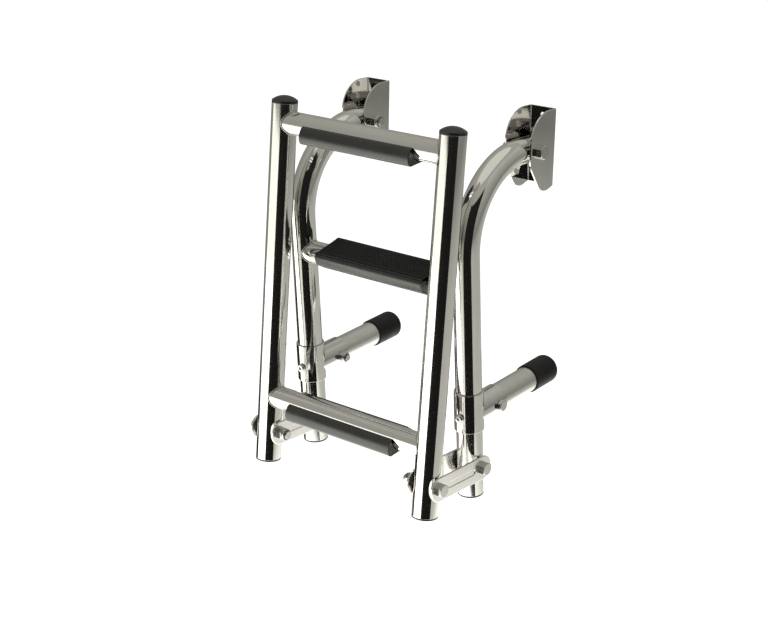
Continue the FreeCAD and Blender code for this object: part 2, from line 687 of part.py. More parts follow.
def make_set_screw(side, x):
    name = "clamp_screw_" + side
    body = new_body(name)
    tip, face = "-rail_radius - side_play", "-sleeve_outer"
    top = face + " - set_head_height"
    points = [(tip, "0"), (tip, "set_screw / 2"), (face, "set_screw / 2"), (face, "set_head / 2"),
              (top, "set_head / 2"), (top, "0")]
    solid = revolve(body, outline(body, "YZ_Plane", name + "_profile", points), "H_Axis")

    def head_rim(edge):
        circle = hasattr(edge.Curve, "Radius") and near(edge.Curve.Radius, "set_head / 2")
        return circle and all(near(v.Point.y, top) for v in edge.Vertexes)

    round_edges(body, solid, head_rim, "set_head_round")
    place(body, x, "screw_y", "screw_z", "rail_lean")
    keep(body, name)


# Stand-off tubes and their rubber feet. Local Y runs from the bolt towards the hull.

def make_arm(side, x):
    name = "standoff_tube_" + side
    body = new_body(name)
    rings = [(("0", "0"), "rail_radius"), (("0", "0"), "tube_bore")]
    section = circles(body, "XZ_Plane", name + "_section", rings)
    pad(body, section, "arm_tail", "Two sides", "arm_length")
    hole = circles(body, "YZ_Plane", name + "_hole", [(("0", "0"), "arm_hole")])
    pocket(body, hole, "2 * rail_diameter")
    place(body, x, "arm_y", "arm_z", "rail_lean")
    keep(body, name)


def make_foot(side, x):
    name = "rubber_foot_" + side
    body = new_body(name)
    rear = "arm_length + foot_end"
    rim = rear + " - foot_length"
    radius = "foot_diameter / 2"
    points = [(rim, "rail_radius"), (rim, radius), (rear, radius), (rear, "0"), ("arm_length", "0"),
              ("arm_length", "rail_radius")]
    solid = revolve(body, outline(body, "YZ_Plane", name + "_profile", points), "H_Axis")

    def outer_edge_at(depth):
        def chosen(edge):
            circle = hasattr(edge.Curve, "Radius") and near(edge.Curve.Radius, radius)
            return circle and all(near(v.Point.y, depth) for v in edge.Vertexes)
        return chosen

    solid = round_edges(body, solid, outer_edge_at(rear), "foot_round")
    round_edges(body, solid, outer_edge_at(rim), "foot_rim_round")
    place(body, x, "arm_y", "arm_z", "rail_lean")
    keep(body, name)


for side, x, outward in sides:
    make_bracket(side, x)
    keep(bolt("hinge_bolt_" + side, x, outward, "ear_outer", "pivot_y", "0"), "hinge_bolt_" + side)
    keep(lock_nut("hinge_nut_" + side, x, outward, "ear_outer", "pivot_y", "0"), "hinge_nut_" + side)
    grouped("hinge_washers_" + side, washer_pair("hinge_washer_" + side, x, "pivot_y", "0"))

for side, x, outward in sides:
    make_upper_rail(side, x)
    make_plug("upper_plug_" + side, x, "rail_foot_y", "rail_foot_z", "180 + rail_lean")
make_rung("upper_rung", "upper_rung_y", "upper_rung_z", "rail_lean")
make_tread("upper_tread", "upper_rung_y", "upper_rung_z", "rail_lean + tread_tilt")

for side, x, outward in sides:
    make_lower_rail(side, x)
    make_plug("lower_plug_" + side, x, "lower_foot_y", "lower_foot_z", "180 - folded_lean")
    make_cap("lower_cap_" + side, x, "lower_top_y", "lower_top_z", "-folded_lean")
for number, y, z in (("near", "near_rung_y", "near_rung_z"), ("far", "far_rung_y", "far_rung_z")):
    make_rung("lower_rung_" + number, y, z, "-folded_lean")
    make_tread("lower_tread_" + number, y, z, "180 + tread_tilt - folded_lean")

plate_centre = "(plate_inner + link_thickness / 2)"
pivots = (("rear", "rear_pivot_y", "rear_pivot_z"), ("front", "front_pivot_y", "front_pivot_z"))
for side, x, outward in sides:
    outer_place = x + " + " + signed(outward, plate_centre)
    inner_place = x + " - " + signed(outward, plate_centre)
    make_link("link_outer_" + side, outer_place, outward)
    make_link("link_inner_" + side, inner_place, -outward)
    nuts, washers = [], []
    for end, y, z in pivots:
        keep(bolt(f"link_bolt_{end}_{side}", x, outward, "link_outer", y, z), f"link_bolt_{end}_{side}")
        nuts.append(lock_nut(f"link_nut_{end}_{side}", x, outward, "link_outer", y, z))
        washers.extend(washer_pair(f"link_washer_{end}_{side}", x, y, z))
    grouped("link_nuts_" + side, nuts)
    grouped("link_washers_" + side, washers)

for side, x, outward in sides:
    make_clamp(side, x)
    make_set_screw(side, x)
    make_arm(side, x)
    make_foot(side, x)
    name = "standoff_bolt_" + side
    keep(bolt(name, x, outward, "socket_outer", "arm_y", "arm_z", arm_set), name)
    nut = "standoff_nut_" + side
    keep(lock_nut(nut, x, outward, "socket_outer", "arm_y", "arm_z", arm_set), nut)

doc.recompute()

for thing in doc.Objects:
    if "Invalid" in thing.State or "Error" in thing.State:
        raise RuntimeError(thing.Name + " failed: " + ", ".join(thing.State))
for piece in pieces:
    if piece.Shape.isNull() or not piece.Shape.isValid():
        raise RuntimeError(piece.Label + " has no valid shape")
for piece in pieces:
    piece.Shape.exportStep("parts/" + piece.Label + ".step")
print(len(pieces), "pieces written")
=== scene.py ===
import bmesh
import bpy
import math
from mathutils import Matrix, Vector


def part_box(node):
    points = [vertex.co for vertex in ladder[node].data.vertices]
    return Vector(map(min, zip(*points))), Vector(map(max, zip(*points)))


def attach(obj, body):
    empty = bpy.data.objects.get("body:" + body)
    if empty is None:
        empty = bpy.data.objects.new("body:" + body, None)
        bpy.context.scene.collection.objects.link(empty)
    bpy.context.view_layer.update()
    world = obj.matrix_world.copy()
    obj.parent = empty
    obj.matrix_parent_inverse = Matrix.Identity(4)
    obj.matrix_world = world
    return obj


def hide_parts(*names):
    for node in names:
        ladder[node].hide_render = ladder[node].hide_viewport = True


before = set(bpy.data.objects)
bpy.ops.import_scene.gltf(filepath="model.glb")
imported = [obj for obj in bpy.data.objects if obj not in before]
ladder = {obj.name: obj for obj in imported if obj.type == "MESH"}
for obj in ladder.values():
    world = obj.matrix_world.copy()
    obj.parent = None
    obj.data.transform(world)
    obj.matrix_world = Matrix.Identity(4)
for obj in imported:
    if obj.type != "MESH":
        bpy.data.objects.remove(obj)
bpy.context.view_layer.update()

# Folding boat ladder. Metres throughout, X along the rungs, Y into the hull, Z up.
scene = bpy.context.scene
print("frame loaded:", len(ladder), "nodes")


# camera, fitted to the photograph

cameraSet = {
    "place": (1.02525, -1.22504, 0.32615),
    "azimuth": 39.608,      # degrees, towards +X from straight in front
    "elevation": 18.904,
    "roll": 0.951,
    "lens": 74.97,          # mm
    "sensor": 36,           # mm
    "clip": (0.05, 50),
}


def makeCamera(values):
    azimuth = math.radians(values["azimuth"])
    elevation = math.radians(values["elevation"])
    roll = math.radians(values["roll"])
    level = math.cos(elevation)
    back = Vector((math.sin(azimuth) * level, -math.cos(azimuth) * level, math.sin(elevation)))
    right = Vector((math.cos(azimuth), math.sin(azimuth), 0))
    up = back.cross(right)
    side = right * math.cos(roll) + up * math.sin(roll)
    top = up * math.cos(roll) - right * math.sin(roll)
    data = bpy.data.cameras.new("ladderCamera")
    data.sensor_width = values["sensor"]
    data.lens = values["lens"]
    data.clip_start, data.clip_end = values["clip"]
    camera = bpy.data.objects.new("ladderCamera", data)
    scene.collection.objects.link(camera)
    turned = Matrix((side, top, back)).transposed().to_4x4()
    camera.matrix_world = Matrix.Translation(values["place"]) @ turned
    return camera


scene.camera = makeCamera(cameraSet)
scene.view_settings.view_transform = "Standard"
print("camera placed")


# small helpers for node trees

def addNode(tree, kind, **settings):
    node = tree.nodes.new(kind)
    for key, value in settings.items():
        setattr(node, key, value)
    return node


def wire(tree, *pairs):
    for source, target in pairs:
        tree.links.new(source, target)


def feed(tree, socket, value):
    # wires a socket to another one, or sets it to a plain value
    if hasattr(value, "is_output"):
        wire(tree, (value, socket))
    else:
        socket.default_value = value


def startGroup(name, inputs, outputs):
    group = bpy.data.node_groups.new(name, "ShaderNodeTree")
    for label, kind, value in inputs:
        socket = group.interface.new_socket(name=label, in_out="INPUT", socket_type=kind)
        if value is not None:
            socket.default_value = value
    for label, kind in outputs:
        group.interface.new_socket(name=label, in_out="OUTPUT", socket_type=kind)
    return group, addNode(group, "NodeGroupInput"), addNode(group, "NodeGroupOutput")


def scaledPoint(tree, point, scale):
    scaled = addNode(tree, "ShaderNodeVectorMath", operation="MULTIPLY")
    wire(tree, (point, scaled.inputs[0]), (scale, scaled.inputs[1]))
    return scaled.outputs[0]


def noiseAt(tree, point, scale, detail, roughness=0.5):
    noise = addNode(tree, "ShaderNodeTexNoise")
    noise.inputs["Scale"].default_value = scale
    noise.inputs["Detail"].default_value = detail
    noise.inputs["Roughness"].default_value = roughness
    wire(tree, (point, noise.inputs["Vector"]))
    return noise.outputs["Fac"]


def remap(tree, value, low, high, toLow, toHigh):
    ranged = addNode(tree, "ShaderNodeMapRange")
    for index, number in enumerate((value, low, high, toLow, toHigh)):
        feed(tree, ranged.inputs[index], number)
    return ranged.outputs[0]


def combine(tree, operation, first, second):
    maths = addNode(tree, "ShaderNodeMath", operation=operation)
    for index, value in enumerate((first, second)):
        feed(tree, maths.inputs[index], value)
    return maths.outputs[0]


# effects that several finishes share

brushing = {
    "coarse": (0.45, 2), "coarseShare": 0.45,        # noise scale and detail
    "fine": (1.6, 3, 0.65), "fineShare": 0.55,       # noise scale, detail and roughness
    "lineRange": (0.32, 0.68),
}


def makeBrushedLines(values=brushing):
    # polishing lines, long along one way and close together across it
    group, given, made = startGroup(
        "brushedLines",
        (("Point", "NodeSocketVector", None), ("Lines per Metre", "NodeSocketVector", (900, 900, 20))),
        (("Lines", "NodeSocketFloat"), ("Height", "NodeSocketFloat")))
    stretched = scaledPoint(group, given.outputs["Point"], given.outputs["Lines per Metre"])
    coarse = combine(group, "MULTIPLY", noiseAt(group, stretched, *values["coarse"]), values["coarseShare"])
    fine = combine(group, "MULTIPLY", noiseAt(group, stretched, *values["fine"]), values["fineShare"])
    both = combine(group, "ADD", coarse, fine)
    wire(group, (remap(group, both, *values["lineRange"], 0, 1), made.inputs["Lines"]), (both, made.inputs["Height"]))
    return group


handlingMarks = {
    "hazeDetail": 5, "hazeRange": (0.35, 0.7),
    "wobbleScale": 22, "wobble": 0.05,
    "scratchScale": 75, "scratchWidth": 0.02,
    "gaps": (95, 1), "gapRange": (0.55, 0.62),       # noise scale and detail of the breaks in a scratch
}


def makeHandling(values=handlingMarks):
    # hazy patches where a cloth or hands have been, with a few short scratches
    group, given, made = startGroup(
        "handling",
        (("Point", "NodeSocketVector", None), ("Patch Scale", "NodeSocketFloat", 40.0),
         ("Scratches", "NodeSocketFloat", 0.4)),
        (("Haze", "NodeSocketFloat"), ("Scratch", "NodeSocketFloat")))
    patches = addNode(group, "ShaderNodeTexNoise")
    patches.inputs["Detail"].default_value = values["hazeDetail"]
    wire(group, (given.outputs["Point"], patches.inputs["Vector"]),
         (given.outputs["Patch Scale"], patches.inputs["Scale"]))
    haze = remap(group, patches.outputs["Fac"], *values["hazeRange"], 0, 1)
    bent = addNode(group, "ShaderNodeVectorMath", operation="MULTIPLY_ADD")
    wobble = addNode(group, "ShaderNodeTexNoise")
    wobble.inputs["Scale"].default_value = values["wobbleScale"]
    wire(group, (given.outputs["Point"], wobble.inputs["Vector"]), (wobble.outputs["Color"], bent.inputs[0]),
         (given.outputs["Point"], bent.inputs[2]))
    bent.inputs[1].default_value = (values["wobble"],) * 3
    cells = addNode(group, "ShaderNodeTexVoronoi", feature="DISTANCE_TO_EDGE")
    cells.inputs["Scale"].default_value = values["scratchScale"]
    wire(group, (bent.outputs[0], cells.inputs["Vector"]))
    hairline = remap(group, cells.outputs["Distance"], 0.0, values["scratchWidth"], 1, 0)
    broken = remap(group, noiseAt(group, given.outputs["Point"], *values["gaps"]), *values["gapRange"], 0, 1)
    scratch = combine(group, "MULTIPLY", combine(group, "MULTIPLY", hairline, broken), given.outputs["Scratches"])
    wire(group, (haze, made.inputs["Haze"]), (scratch, made.inputs["Scratch"]))
    return group


edgeRubbing = {
    "samples": 6, "turnRange": (0.75, 0.985),
    "patches": (160, 4), "patchRange": (0.35, 0.65), "leastWear": 0.2,
}


def makeEdgeWear(values=edgeRubbing):
    # a mask of the outer edges, a fraction of a millimetre wide, broken up by noise
    group, given, made = startGroup(
        "edgeWear",
        (("Point", "NodeSocketVector", None), ("Reach", "NodeSocketFloat", 0.0006), ("Wear", "NodeSocketFloat", 0.6)),
        (("Edge", "NodeSocketFloat"), ("Rounded Normal", "NodeSocketVector")))
    rounded = addNode(group, "ShaderNodeBevel", samples=values["samples"])
    surface = addNode(group, "ShaderNodeNewGeometry")
    facing = addNode(group, "ShaderNodeVectorMath", operation="DOT_PRODUCT")
    wire(group, (given.outputs["Reach"], rounded.inputs["Radius"]), (rounded.outputs[0], facing.inputs[0]),
         (surface.outputs["Normal"], facing.inputs[1]), (rounded.outputs[0], made.inputs["Rounded Normal"]))
    turned = remap(group, facing.outputs["Value"], *values["turnRange"], 1, 0)
    patches = noiseAt(group, given.outputs["Point"], *values["patches"])
    rubbed = remap(group, patches, *values["patchRange"], values["leastWear"], 1)
    edge = combine(group, "MULTIPLY", combine(group, "MULTIPLY", turned, rubbed), given.outputs["Wear"])
    wire(group, (edge, made.inputs["Edge"]))
    return group


mouldedSkin = {
    "grainDetail": 2, "grainRange": (0.3, 0.7),
    "patches": (55, 5), "patchRange": (0.45, 0.7), "patchShare": 0.5,
    "specks": (900, 1), "speckRange": (0.6, 0.72),
}


def makeMouldedGrain(values=mouldedSkin):
    # the fine spark-eroded grain of a moulding, with settled dust in patches
    group, given, made = startGroup(
        "mouldedGrain",
        (("Point", "NodeSocketVector", None), ("Grain per Metre", "NodeSocketFloat", 1600.0),
         ("Dust", "NodeSocketFloat", 0.3)),
        (("Grain", "NodeSocketFloat"), ("Dust", "NodeSocketFloat"), ("Height", "NodeSocketFloat")))
    fine = addNode(group, "ShaderNodeTexNoise")
    fine.inputs["Detail"].default_value = values["grainDetail"]
    wire(group, (given.outputs["Point"], fine.inputs["Vector"]),
         (given.outputs["Grain per Metre"], fine.inputs["Scale"]))
    grain = remap(group, fine.outputs["Fac"], *values["grainRange"], 0, 1)
    patch = remap(group, noiseAt(group, given.outputs["Point"], *values["patches"]), *values["patchRange"], 0, 1)
    speck = remap(group, noiseAt(group, given.outputs["Point"], *values["specks"]), *values["speckRange"], 0, 1)
    settled = combine(group, "MAXIMUM", combine(group, "MULTIPLY", patch, values["patchShare"]), speck)
    dust = combine(group, "MULTIPLY", settled, given.outputs["Dust"])
    wire(group, (grain, made.inputs["Grain"]), (dust, made.inputs["Dust"]),
         (fine.outputs["Fac"], made.inputs["Height"]))
    return group


brushedLines = makeBrushedLines()
handling = makeHandling()
edgeWear = makeEdgeWear()
mouldedGrain = makeMouldedGrain()
print("shared effects made:", len(bpy.data.node_groups))


# finishes

def startFinish(name):
    material = bpy.data.materials.new(name)
    material.use_nodes = True
    tree = material.node_tree
    shader = tree.nodes["Principled BSDF"]
    place = addNode(tree, "ShaderNodeTexCoord").outputs["Object"]
    return material, tree, shader, place


def placeGroup(tree, group, point, **values):
    node = addNode(tree, "ShaderNodeGroup", node_tree=group)
    wire(tree, (point, node.inputs["Point"]))
    for label, value in values.items():
        node.inputs[label].default_value = value
    return node


def mixColours(tree, share, first, second):
    mix = addNode(tree, "ShaderNodeMix", data_type="RGBA")
    wire(tree, (share, mix.inputs[0]))
    for index, colour in ((6, first), (7, second)):
        feed(tree, mix.inputs[index], colour if hasattr(colour, "is_output") else (*colour, 1))
    return mix.outputs[2]


skin = {"bumpDepth": 0.0002, "scratchRoughness": 0.12, "dustRoughness": 0.2}


def joinShader(tree, shader, colour, roughness, height, edges, strength):
    bump = addNode(tree, "ShaderNodeBump")
    bump.inputs["Strength"].default_value = strength
    bump.inputs["Distance"].default_value = skin["bumpDepth"]
    wire(tree, (colour, shader.inputs["Base Color"]), (roughness, shader.inputs["Roughness"]),
         (height, bump.inputs["Height"]), (edges.outputs["Rounded Normal"], bump.inputs["Normal"]),
         (bump.outputs["Normal"], shader.inputs["Normal"]))


def makeSteel(name, values):
    material, tree, shader, place = startFinish(name)
    lines = placeGroup(tree, brushedLines, place, **{"Lines per Metre": values["lines"]})
    marks = placeGroup(tree, handling, place, **{"Patch Scale": values["patches"], "Scratches": values["scratches"]})
    edges = placeGroup(tree, edgeWear, place, Reach=values["edgeReach"], Wear=values["edgeWear"])
    streaked = mixColours(tree, lines.outputs["Lines"], values["colour"], values["lineColour"])
    hazed = mixColours(tree, combine(tree, "MULTIPLY", marks.outputs["Haze"], values["hazeTint"]), streaked,
                       values["hazeColour"])
    worn = mixColours(tree, edges.outputs["Edge"], hazed, values["edgeColour"])
    smooth = remap(tree, marks.outputs["Haze"], 0, 1, *values["roughness"])
    lined = combine(tree, "ADD", smooth, combine(tree, "MULTIPLY", lines.outputs["Lines"], values["lineRoughness"]))
    marked = combine(tree, "MULTIPLY", marks.outputs["Scratch"], skin["scratchRoughness"])
    joinShader(tree, shader, worn, combine(tree, "ADD", lined, marked), lines.outputs["Height"], edges, values["bump"])
    shader.inputs["Metallic"].default_value = 1
    return material


polishedTube = {
    "colour": (0.80, 0.79, 0.765), "lineColour": (0.74, 0.73, 0.70), "hazeColour": (0.66, 0.65, 0.62),
    "edgeColour": (0.88, 0.87, 0.85), "hazeTint": 0.35, "roughness": (0.055, 0.09), "lineRoughness": 0.03,
    "lines": (420, 420, 9), "patches": 26, "scratches": 0.5, "bump": 0.03, "edgeReach": 0.0004, "edgeWear": 0.5,
}
polishedRung = {**polishedTube, "lines": (9, 520, 520), "bump": 0.09, "lineRoughness": 0.06}
bentSheet = {
    "colour": (0.74, 0.73, 0.71), "lineColour": (0.68, 0.67, 0.65), "hazeColour": (0.60, 0.59, 0.57),
    "edgeColour": (0.90, 0.89, 0.87), "hazeTint": 0.4, "roughness": (0.03, 0.07), "lineRoughness": 0.01,
    "lines": (650, 650, 14), "patches": 45, "scratches": 0.8, "bump": 0.003, "edgeReach": 0.0004, "edgeWear": 0.9,
}
linkPlate = {
    **bentSheet, "colour": (0.88, 0.87, 0.85), "lineColour": (0.80, 0.79, 0.77), "lines": (650, 12, 650),
    "roughness": (0.20, 0.28), "bump": 0.08,
}
satinTube = {
    "colour": (0.74, 0.73, 0.70), "lineColour": (0.64, 0.63, 0.60), "hazeColour": (0.60, 0.59, 0.56),
    "edgeColour": (0.80, 0.79, 0.77), "hazeTint": 0.4, "roughness": (0.22, 0.32), "lineRoughness": 0.10,
    "lines": (900, 30, 900), "patches": 60, "scratches": 0.5, "bump": 0.25, "edgeReach": 0.0005, "edgeWear": 0.6,
}
turnedSteel = {
    "colour": (0.64, 0.63, 0.61), "lineColour": (0.56, 0.55, 0.53), "hazeColour": (0.46, 0.45, 0.43),
    "edgeColour": (0.82, 0.81, 0.79), "hazeTint": 0.5, "roughness": (0.15, 0.28), "lineRoughness": 0.06,
    "lines": (40, 1200, 1200), "patches": 130, "scratches": 0.9, "bump": 0.12, "edgeReach": 0.0005, "edgeWear": 0.9,
}
weldedSteel = {
    "colour": (0.62, 0.60, 0.56), "lineColour": (0.50, 0.48, 0.44), "hazeColour": (0.44, 0.40, 0.34),
    "edgeColour": (0.74, 0.73, 0.71), "hazeTint": 0.6, "roughness": (0.22, 0.38), "lineRoughness": 0.06,
    "lines": (700, 700, 700), "patches": 260, "scratches": 0.2, "bump": 0.20, "edgeReach": 0.0002, "edgeWear": 0.2,
}


def makePlastic(name, values):
    material, tree, shader, place = startFinish(name)
    grain = placeGroup(tree, mouldedGrain, place, **{"Grain per Metre": values["grain"], "Dust": values["dust"]})
    marks = placeGroup(tree, handling, place, **{"Patch Scale": values["patches"], "Scratches": values["scratches"]})
    edges = placeGroup(tree, edgeWear, place, Reach=values["edgeReach"], Wear=values["edgeWear"])
    grained = mixColours(tree, grain.outputs["Grain"], values["colour"], values["grainColour"])
    hazed = mixColours(tree, combine(tree, "MULTIPLY", marks.outputs["Haze"], values["hazeTint"]), grained,
                       values["hazeColour"])
    dusty = mixColours(tree, grain.outputs["Dust"], hazed, values["dustColour"])
    worn = mixColours(tree, edges.outputs["Edge"], dusty, values["edgeColour"])
    smooth = remap(tree, marks.outputs["Haze"], 0, 1, *values["roughness"])
    dulled = combine(tree, "ADD", smooth, combine(tree, "MULTIPLY", grain.outputs["Dust"], skin["dustRoughness"]))
    joinShader(tree, shader, worn, dulled, grain.outputs["Height"], edges, values["bump"])
    shader.inputs["Specular IOR Level"].default_value = values["specular"]
    return material


treadPlastic = {
    "colour": (0.0045, 0.0045, 0.0042), "grainColour": (0.0085, 0.0085, 0.0078), "hazeColour": (0.013, 0.013, 0.012),
    "dustColour": (0.05, 0.05, 0.045), "edgeColour": (0.025, 0.025, 0.024), "hazeTint": 0.4, "roughness": (0.24, 0.36),
    "grain": 1500, "dust": 0.08, "patches": 48, "scratches": 0.5, "bump": 0.18, "edgeReach": 0.0006, "edgeWear": 0.5,
    "specular": 0.75,
}
capPlastic = {
    "colour": (0.0055, 0.0055, 0.0055), "grainColour": (0.009, 0.009, 0.009), "hazeColour": (0.015, 0.015, 0.014),
    "dustColour": (0.06, 0.06, 0.055), "edgeColour": (0.03, 0.03, 0.03), "hazeTint": 0.4, "roughness": (0.28, 0.40),
    "grain": 1100, "dust": 0.08, "patches": 70, "scratches": 0.4, "bump": 0.12, "edgeReach": 0.0005, "edgeWear": 0.4,
    "specular": 0.45,
}
treadGrip = {
    **treadPlastic, "colour": (0.0036, 0.0036, 0.0033), "grainColour": (0.0080, 0.0080, 0.0072),
    "roughness": (0.52, 0.66), "grain": 900, "dust": 0.12, "bump": 0.40, "specular": 0.16,
}
footRubber = {
    "colour": (0.0035, 0.0035, 0.0031), "grainColour": (0.0065, 0.0065, 0.0058), "hazeColour": (0.009, 0.009, 0.008),
    "dustColour": (0.06, 0.06, 0.052), "edgeColour": (0.03, 0.03, 0.028), "hazeTint": 0.5, "roughness": (0.42, 0.56),
    "grain": 1300, "dust": 0.08, "patches": 60, "scratches": 0.2, "bump": 0.25, "edgeReach": 0.0008, "edgeWear": 0.5,
    "specular": 0.20,
}
washerNylon = {
    "colour": (0.020, 0.020, 0.021), "grainColour": (0.032, 0.032, 0.033), "hazeColour": (0.045, 0.045, 0.045),
    "dustColour": (0.14, 0.14, 0.13), "edgeColour": (0.07, 0.07, 0.07), "hazeTint": 0.4, "roughness": (0.35, 0.50),
    "grain": 1800, "dust": 0.15, "patches": 120, "scratches": 0.2, "bump": 0.15, "edgeReach": 0.0003, "edgeWear": 0.4,
    "specular": 0.5,
}

finishes = {
    "tube": makeSteel("polishedTube", polishedTube),
    "rung": makeSteel("polishedRung", polishedRung),
    "sheet": makeSteel("bentSheet", bentSheet),
    "link": makeSteel("linkPlate", linkPlate),
    "arm": makeSteel("satinTube", satinTube),
    "bolt": makeSteel("turnedSteel", turnedSteel),
    "weld": makeSteel("weldedSteel", weldedSteel),
    "tread": makePlastic("treadPlastic", treadPlastic),
    "grip": makePlastic("treadGrip", treadGrip),
    "cap": makePlastic("capPlastic", capPlastic),
    "foot": makePlastic("footRubber", footRubber),
    "washer": makePlastic("washerNylon", washerNylon),
}

finishOf = (
    ("upper_tread", "tread"), ("lower_tread", "tread"), ("upper_rung", "rung"), ("lower_rung", "rung"),
    ("upper_rail", "tube"), ("lower_rail", "tube"), ("upper_plug", "cap"), ("lower_plug", "cap"),
    ("lower_cap", "cap"), ("bracket", "sheet"), ("standoff_clamp", "sheet"), ("link_outer", "link"),
    ("link_inner", "link"), ("standoff_tube", "arm"), ("rubber_foot", "foot"), ("hinge_washers", "washer"),
    ("link_washers", "washer"), ("hinge_", "bolt"), ("link_", "bolt"), ("clamp_screw", "bolt"), ("standoff_", "bolt"),
)


def dressNodes():
    for name, node in ladder.items():
        finish = next(finishes[key] for start, key in finishOf if name.startswith(start))
        if not node.data.materials:
            node.data.materials.append(finish)
        for slot in node.material_slots:
            slot.material = finish


dressNodes()
print("finishes made:", len(finishes))


# pieces that the drawing leaves to this file

def addMesh(name, shape, material):
    mesh = bpy.data.meshes.new(name)
    shape.to_mesh(mesh)
    shape.free()
    mesh.materials.append(material)
    piece = bpy.data.objects.new(name, mesh)
    scene.collection.objects.link(piece)
    return piece


def finishMesh(name, shape, finish, body, crease=180):
    # edges that turn more than the crease angle, in degrees, stay sharp
    bmesh.ops.recalc_face_normals(shape, faces=shape.faces)
    for face in shape.faces:
        face.smooth = True
    for edge in shape.edges:
        edge.smooth = len(edge.link_faces) != 2 or edge.calc_face_angle() < math.radians(crease)
    piece = addMesh(name, shape, finishes[finish])
    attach(piece, body)
    return piece


def sweepRings(shape, rings, closed):
    # joins rings of points into a tube, and the last ring to the first where it is closed
    rows = [[shape.verts.new(point) for point in ring] for ring in rings]
    pairs = list(zip(rows, rows[1:]))
    if closed:
        pairs.append((rows[-1], rows[0]))
    for first, second in pairs:
        for index in range(len(first)):
            after = (index + 1) % len(first)
            shape.faces.new((first[index], first[after], second[after], second[index]))
    return rows


weldBead = {
    "railRadius": 0.0125, "rungRadius": 0.011,
    "width": 0.0013,        # half width of the bead
    "height": 0.0007,       # how far it stands off the corner
    "ripples": 46, "rippleHeight": 0.00012, "steps": 276, "profile": 9,
    "squash": 0.55, "shift": 0.0004, "flare": 0.25,
    "slowWander": (0.08, 3, 40), "quickWander": (0.05, 7, 60),   # amount, waves round, shift from bead to bead
}
railLean = {"upper_frame": 4.8, "lower_frame": -4.2}
railSides = (("left", 0.0, 1), ("right", 0.2, -1))   # name, place across, way to the ladder's middle


def railOffset(rungMiddle, railMiddle, lean):
    # sideways distance from the rail's axis to the rung's, square to the rail
    return (rungMiddle.y - railMiddle.y) * math.cos(lean) + (rungMiddle.z - railMiddle.z) * math.sin(lean)


def makeWeldBead(name, rungNode, railMiddle, side, body, values=weldBead):
    low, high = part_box(rungNode)
    middle = (low + high) / 2
    rings = []
    for step in range(values["steps"]):
        turn = math.tau * step / values["steps"]
        across, along = math.cos(turn), math.sin(turn)
        rungY, rungZ = values["rungRadius"] * across, values["rungRadius"] * along
        lean = math.radians(railLean[body])
        offset = rungY * math.cos(lean) + rungZ * math.sin(lean) + railOffset(middle, railMiddle, lean)
        reach = math.sqrt(max(values["railRadius"] ** 2 - offset ** 2, 1e-9))
        point = Vector((railMiddle.x + side * reach, middle.y + rungY, middle.z + rungZ))
        outward = Vector((0, across, along))
        alongRung = Vector((side, 0, 0))
        ripple = 1 + values["rippleHeight"] / values["height"] * math.cos(values["ripples"] * turn)
        slow, slowWaves, slowShift = values["slowWander"]
        quick, quickWaves, quickShift = values["quickWander"]
        wander = (1 + slow * math.sin(slowWaves * turn + railMiddle.x * slowShift)
                  + quick * math.sin(quickWaves * turn + middle.z * quickShift))
        ring = []
        for corner in range(values["profile"]):
            swing = math.tau * corner / values["profile"]
            width = values["width"] * math.cos(swing) * wander
            height = values["height"] * math.sin(swing) * ripple
            ring.append(point + alongRung * (width * values["squash"] + values["shift"])
                        + outward * (height + values["flare"] * abs(width)))
        rings.append(ring)
    shape = bmesh.new()
    sweepRings(shape, rings, closed=True)
    finishMesh(name, shape, "weld", body)


def makeWeldBeads():
    rungs = (("upper_rung", "upper_frame"), ("lower_rung_near", "lower_frame"), ("lower_rung_far", "lower_frame"))
    for rungNode, body in rungs:
        low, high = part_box(rungNode)
        middle = (low + high) / 2
        for sideName, x, side in railSides:
            axisPoint = Vector((x, middle.y, middle.z))
            makeWeldBead(rungNode + "_weld_" + sideName, rungNode, axisPoint, side, body)


makeWeldBeads()
print("weld beads made")


lockRing = {"rim": 0.0005, "proud": 0.00025, "innerShare": 0.4, "depth": 0.0009, "steps": 48}
boltThread = {
    "pitch": 0.00125, "height": 0.00022, "stepsPerTurn": 40,
    "fade": 6,              # the ridge rises over one part in so many of its length
    "foot": 0.3,            # half width at its foot, in pitches
    "sunk": 0.00005,
}


def makeLockRing(name, centre, outward, radius, collar, body, values=lockRing):
    # the nylon insert in the top of a lock nut
    inner, outer = radius, collar - values["rim"]
    proud, depth = values["proud"], values["depth"]
    section = [(inner, -depth), (inner, proud * values["innerShare"]), (inner + proud, proud),
               (outer - proud, proud), (outer, 0.0), (outer, -depth)]
    rings = []
    for step in range(values["steps"]):
        turn = math.tau * step / values["steps"]
        spoke = Vector((0, math.cos(turn), math.sin(turn)))
        rings.append([centre + spoke * reach + Vector((outward * out, 0, 0)) for reach, out in section])
    shape = bmesh.new()
    sweepRings(shape, rings, closed=True)
    finishMesh(name, shape, "washer", body, crease=50)


def makeThread(name, centre, outward, radius, length, body, values=boltThread):
    # the ridge that winds round the end of a bolt
    turns = length / values["pitch"]
    steps = int(turns * values["stepsPerTurn"])
    rings = []
    for step in range(steps + 1):
        share = step / steps
        turn = math.tau * turns * share
        fade = min(1, values["fade"] * share, values["fade"] * (1 - share))
        spoke = Vector((0, math.cos(turn), math.sin(turn)))
        base = centre + Vector((outward * length * share, 0, 0))
        half = Vector((values["foot"] * values["pitch"], 0, 0))
        low = spoke * (radius - values["sunk"])
        rings.append([base + low - half, base + spoke * (radius + values["height"] * fade), base + low + half])
    shape = bmesh.new()
    rows = sweepRings(shape, rings, closed=False)
    shape.faces.new(rows[0])
    shape.faces.new(rows[-1][::-1])
    finishMesh(name, shape, "bolt", body)


